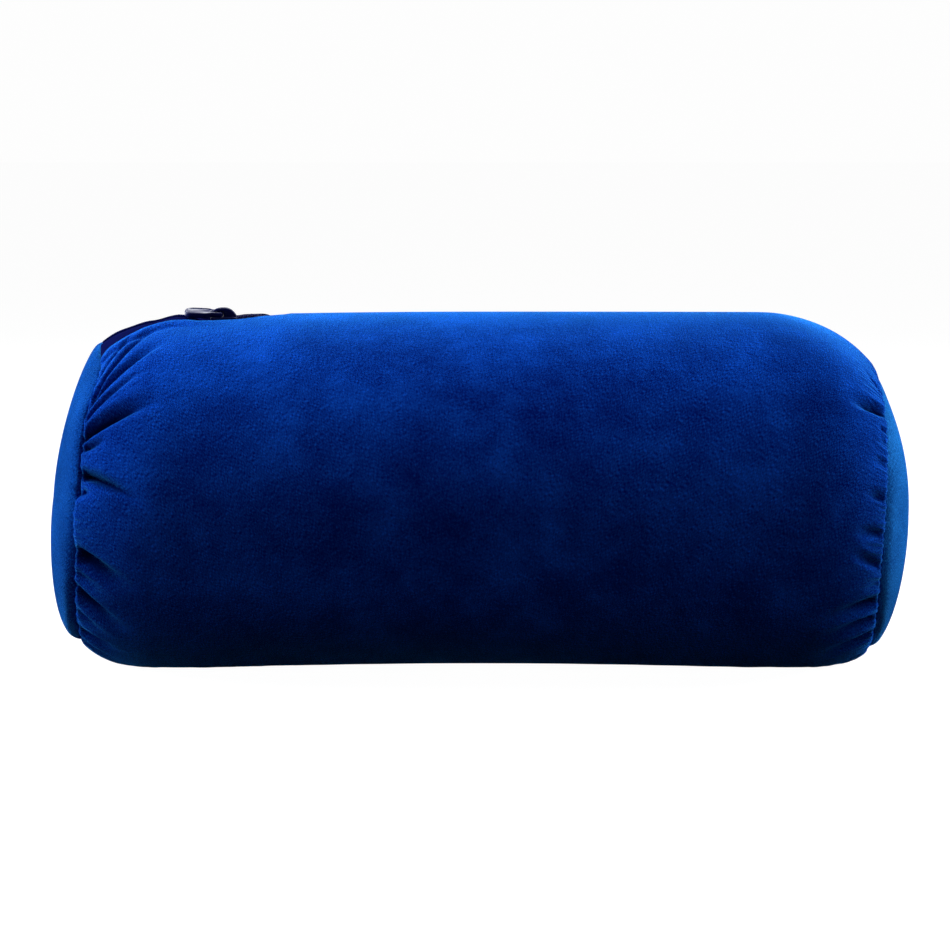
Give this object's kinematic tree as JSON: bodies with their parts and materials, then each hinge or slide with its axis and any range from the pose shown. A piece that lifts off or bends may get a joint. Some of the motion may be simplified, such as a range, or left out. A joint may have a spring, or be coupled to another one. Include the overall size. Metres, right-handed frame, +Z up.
{
  "type": "neck roll pillow",
  "caption": "Stuffed velour neck roll: a cylinder gathered at both ends onto round domed panels, with a nylon zip along its crest.",
  "frame": {"origin": "on the surface that the roll lies on, under the middle of its box", "axes": "+X along the roll towards the end away from the zip's slider, +Z up, -Y towards the front"},
  "size_m": [0.3462, 0.152, 0.1429],
  "materials": {
    "velour": "royal blue short-pile polyester velour with a soft sheen",
    "zip_tape": "navy woven polyester tape",
    "zip_coil": "navy nylon coil",
    "zip_enamel": "glossy dark navy enamel on die-cast zinc"
  },
  "bodies": {
    "root": {"tube": "velour", "end_panel_left": "velour", "end_panel_right": "velour", "zip_tape_front": "zip_tape", "zip_tape_back": "zip_tape", "zip_chain": "zip_coil", "zip_slider": "zip_enamel", "zip_puller": "zip_enamel"}
  },
  "joints": []
}
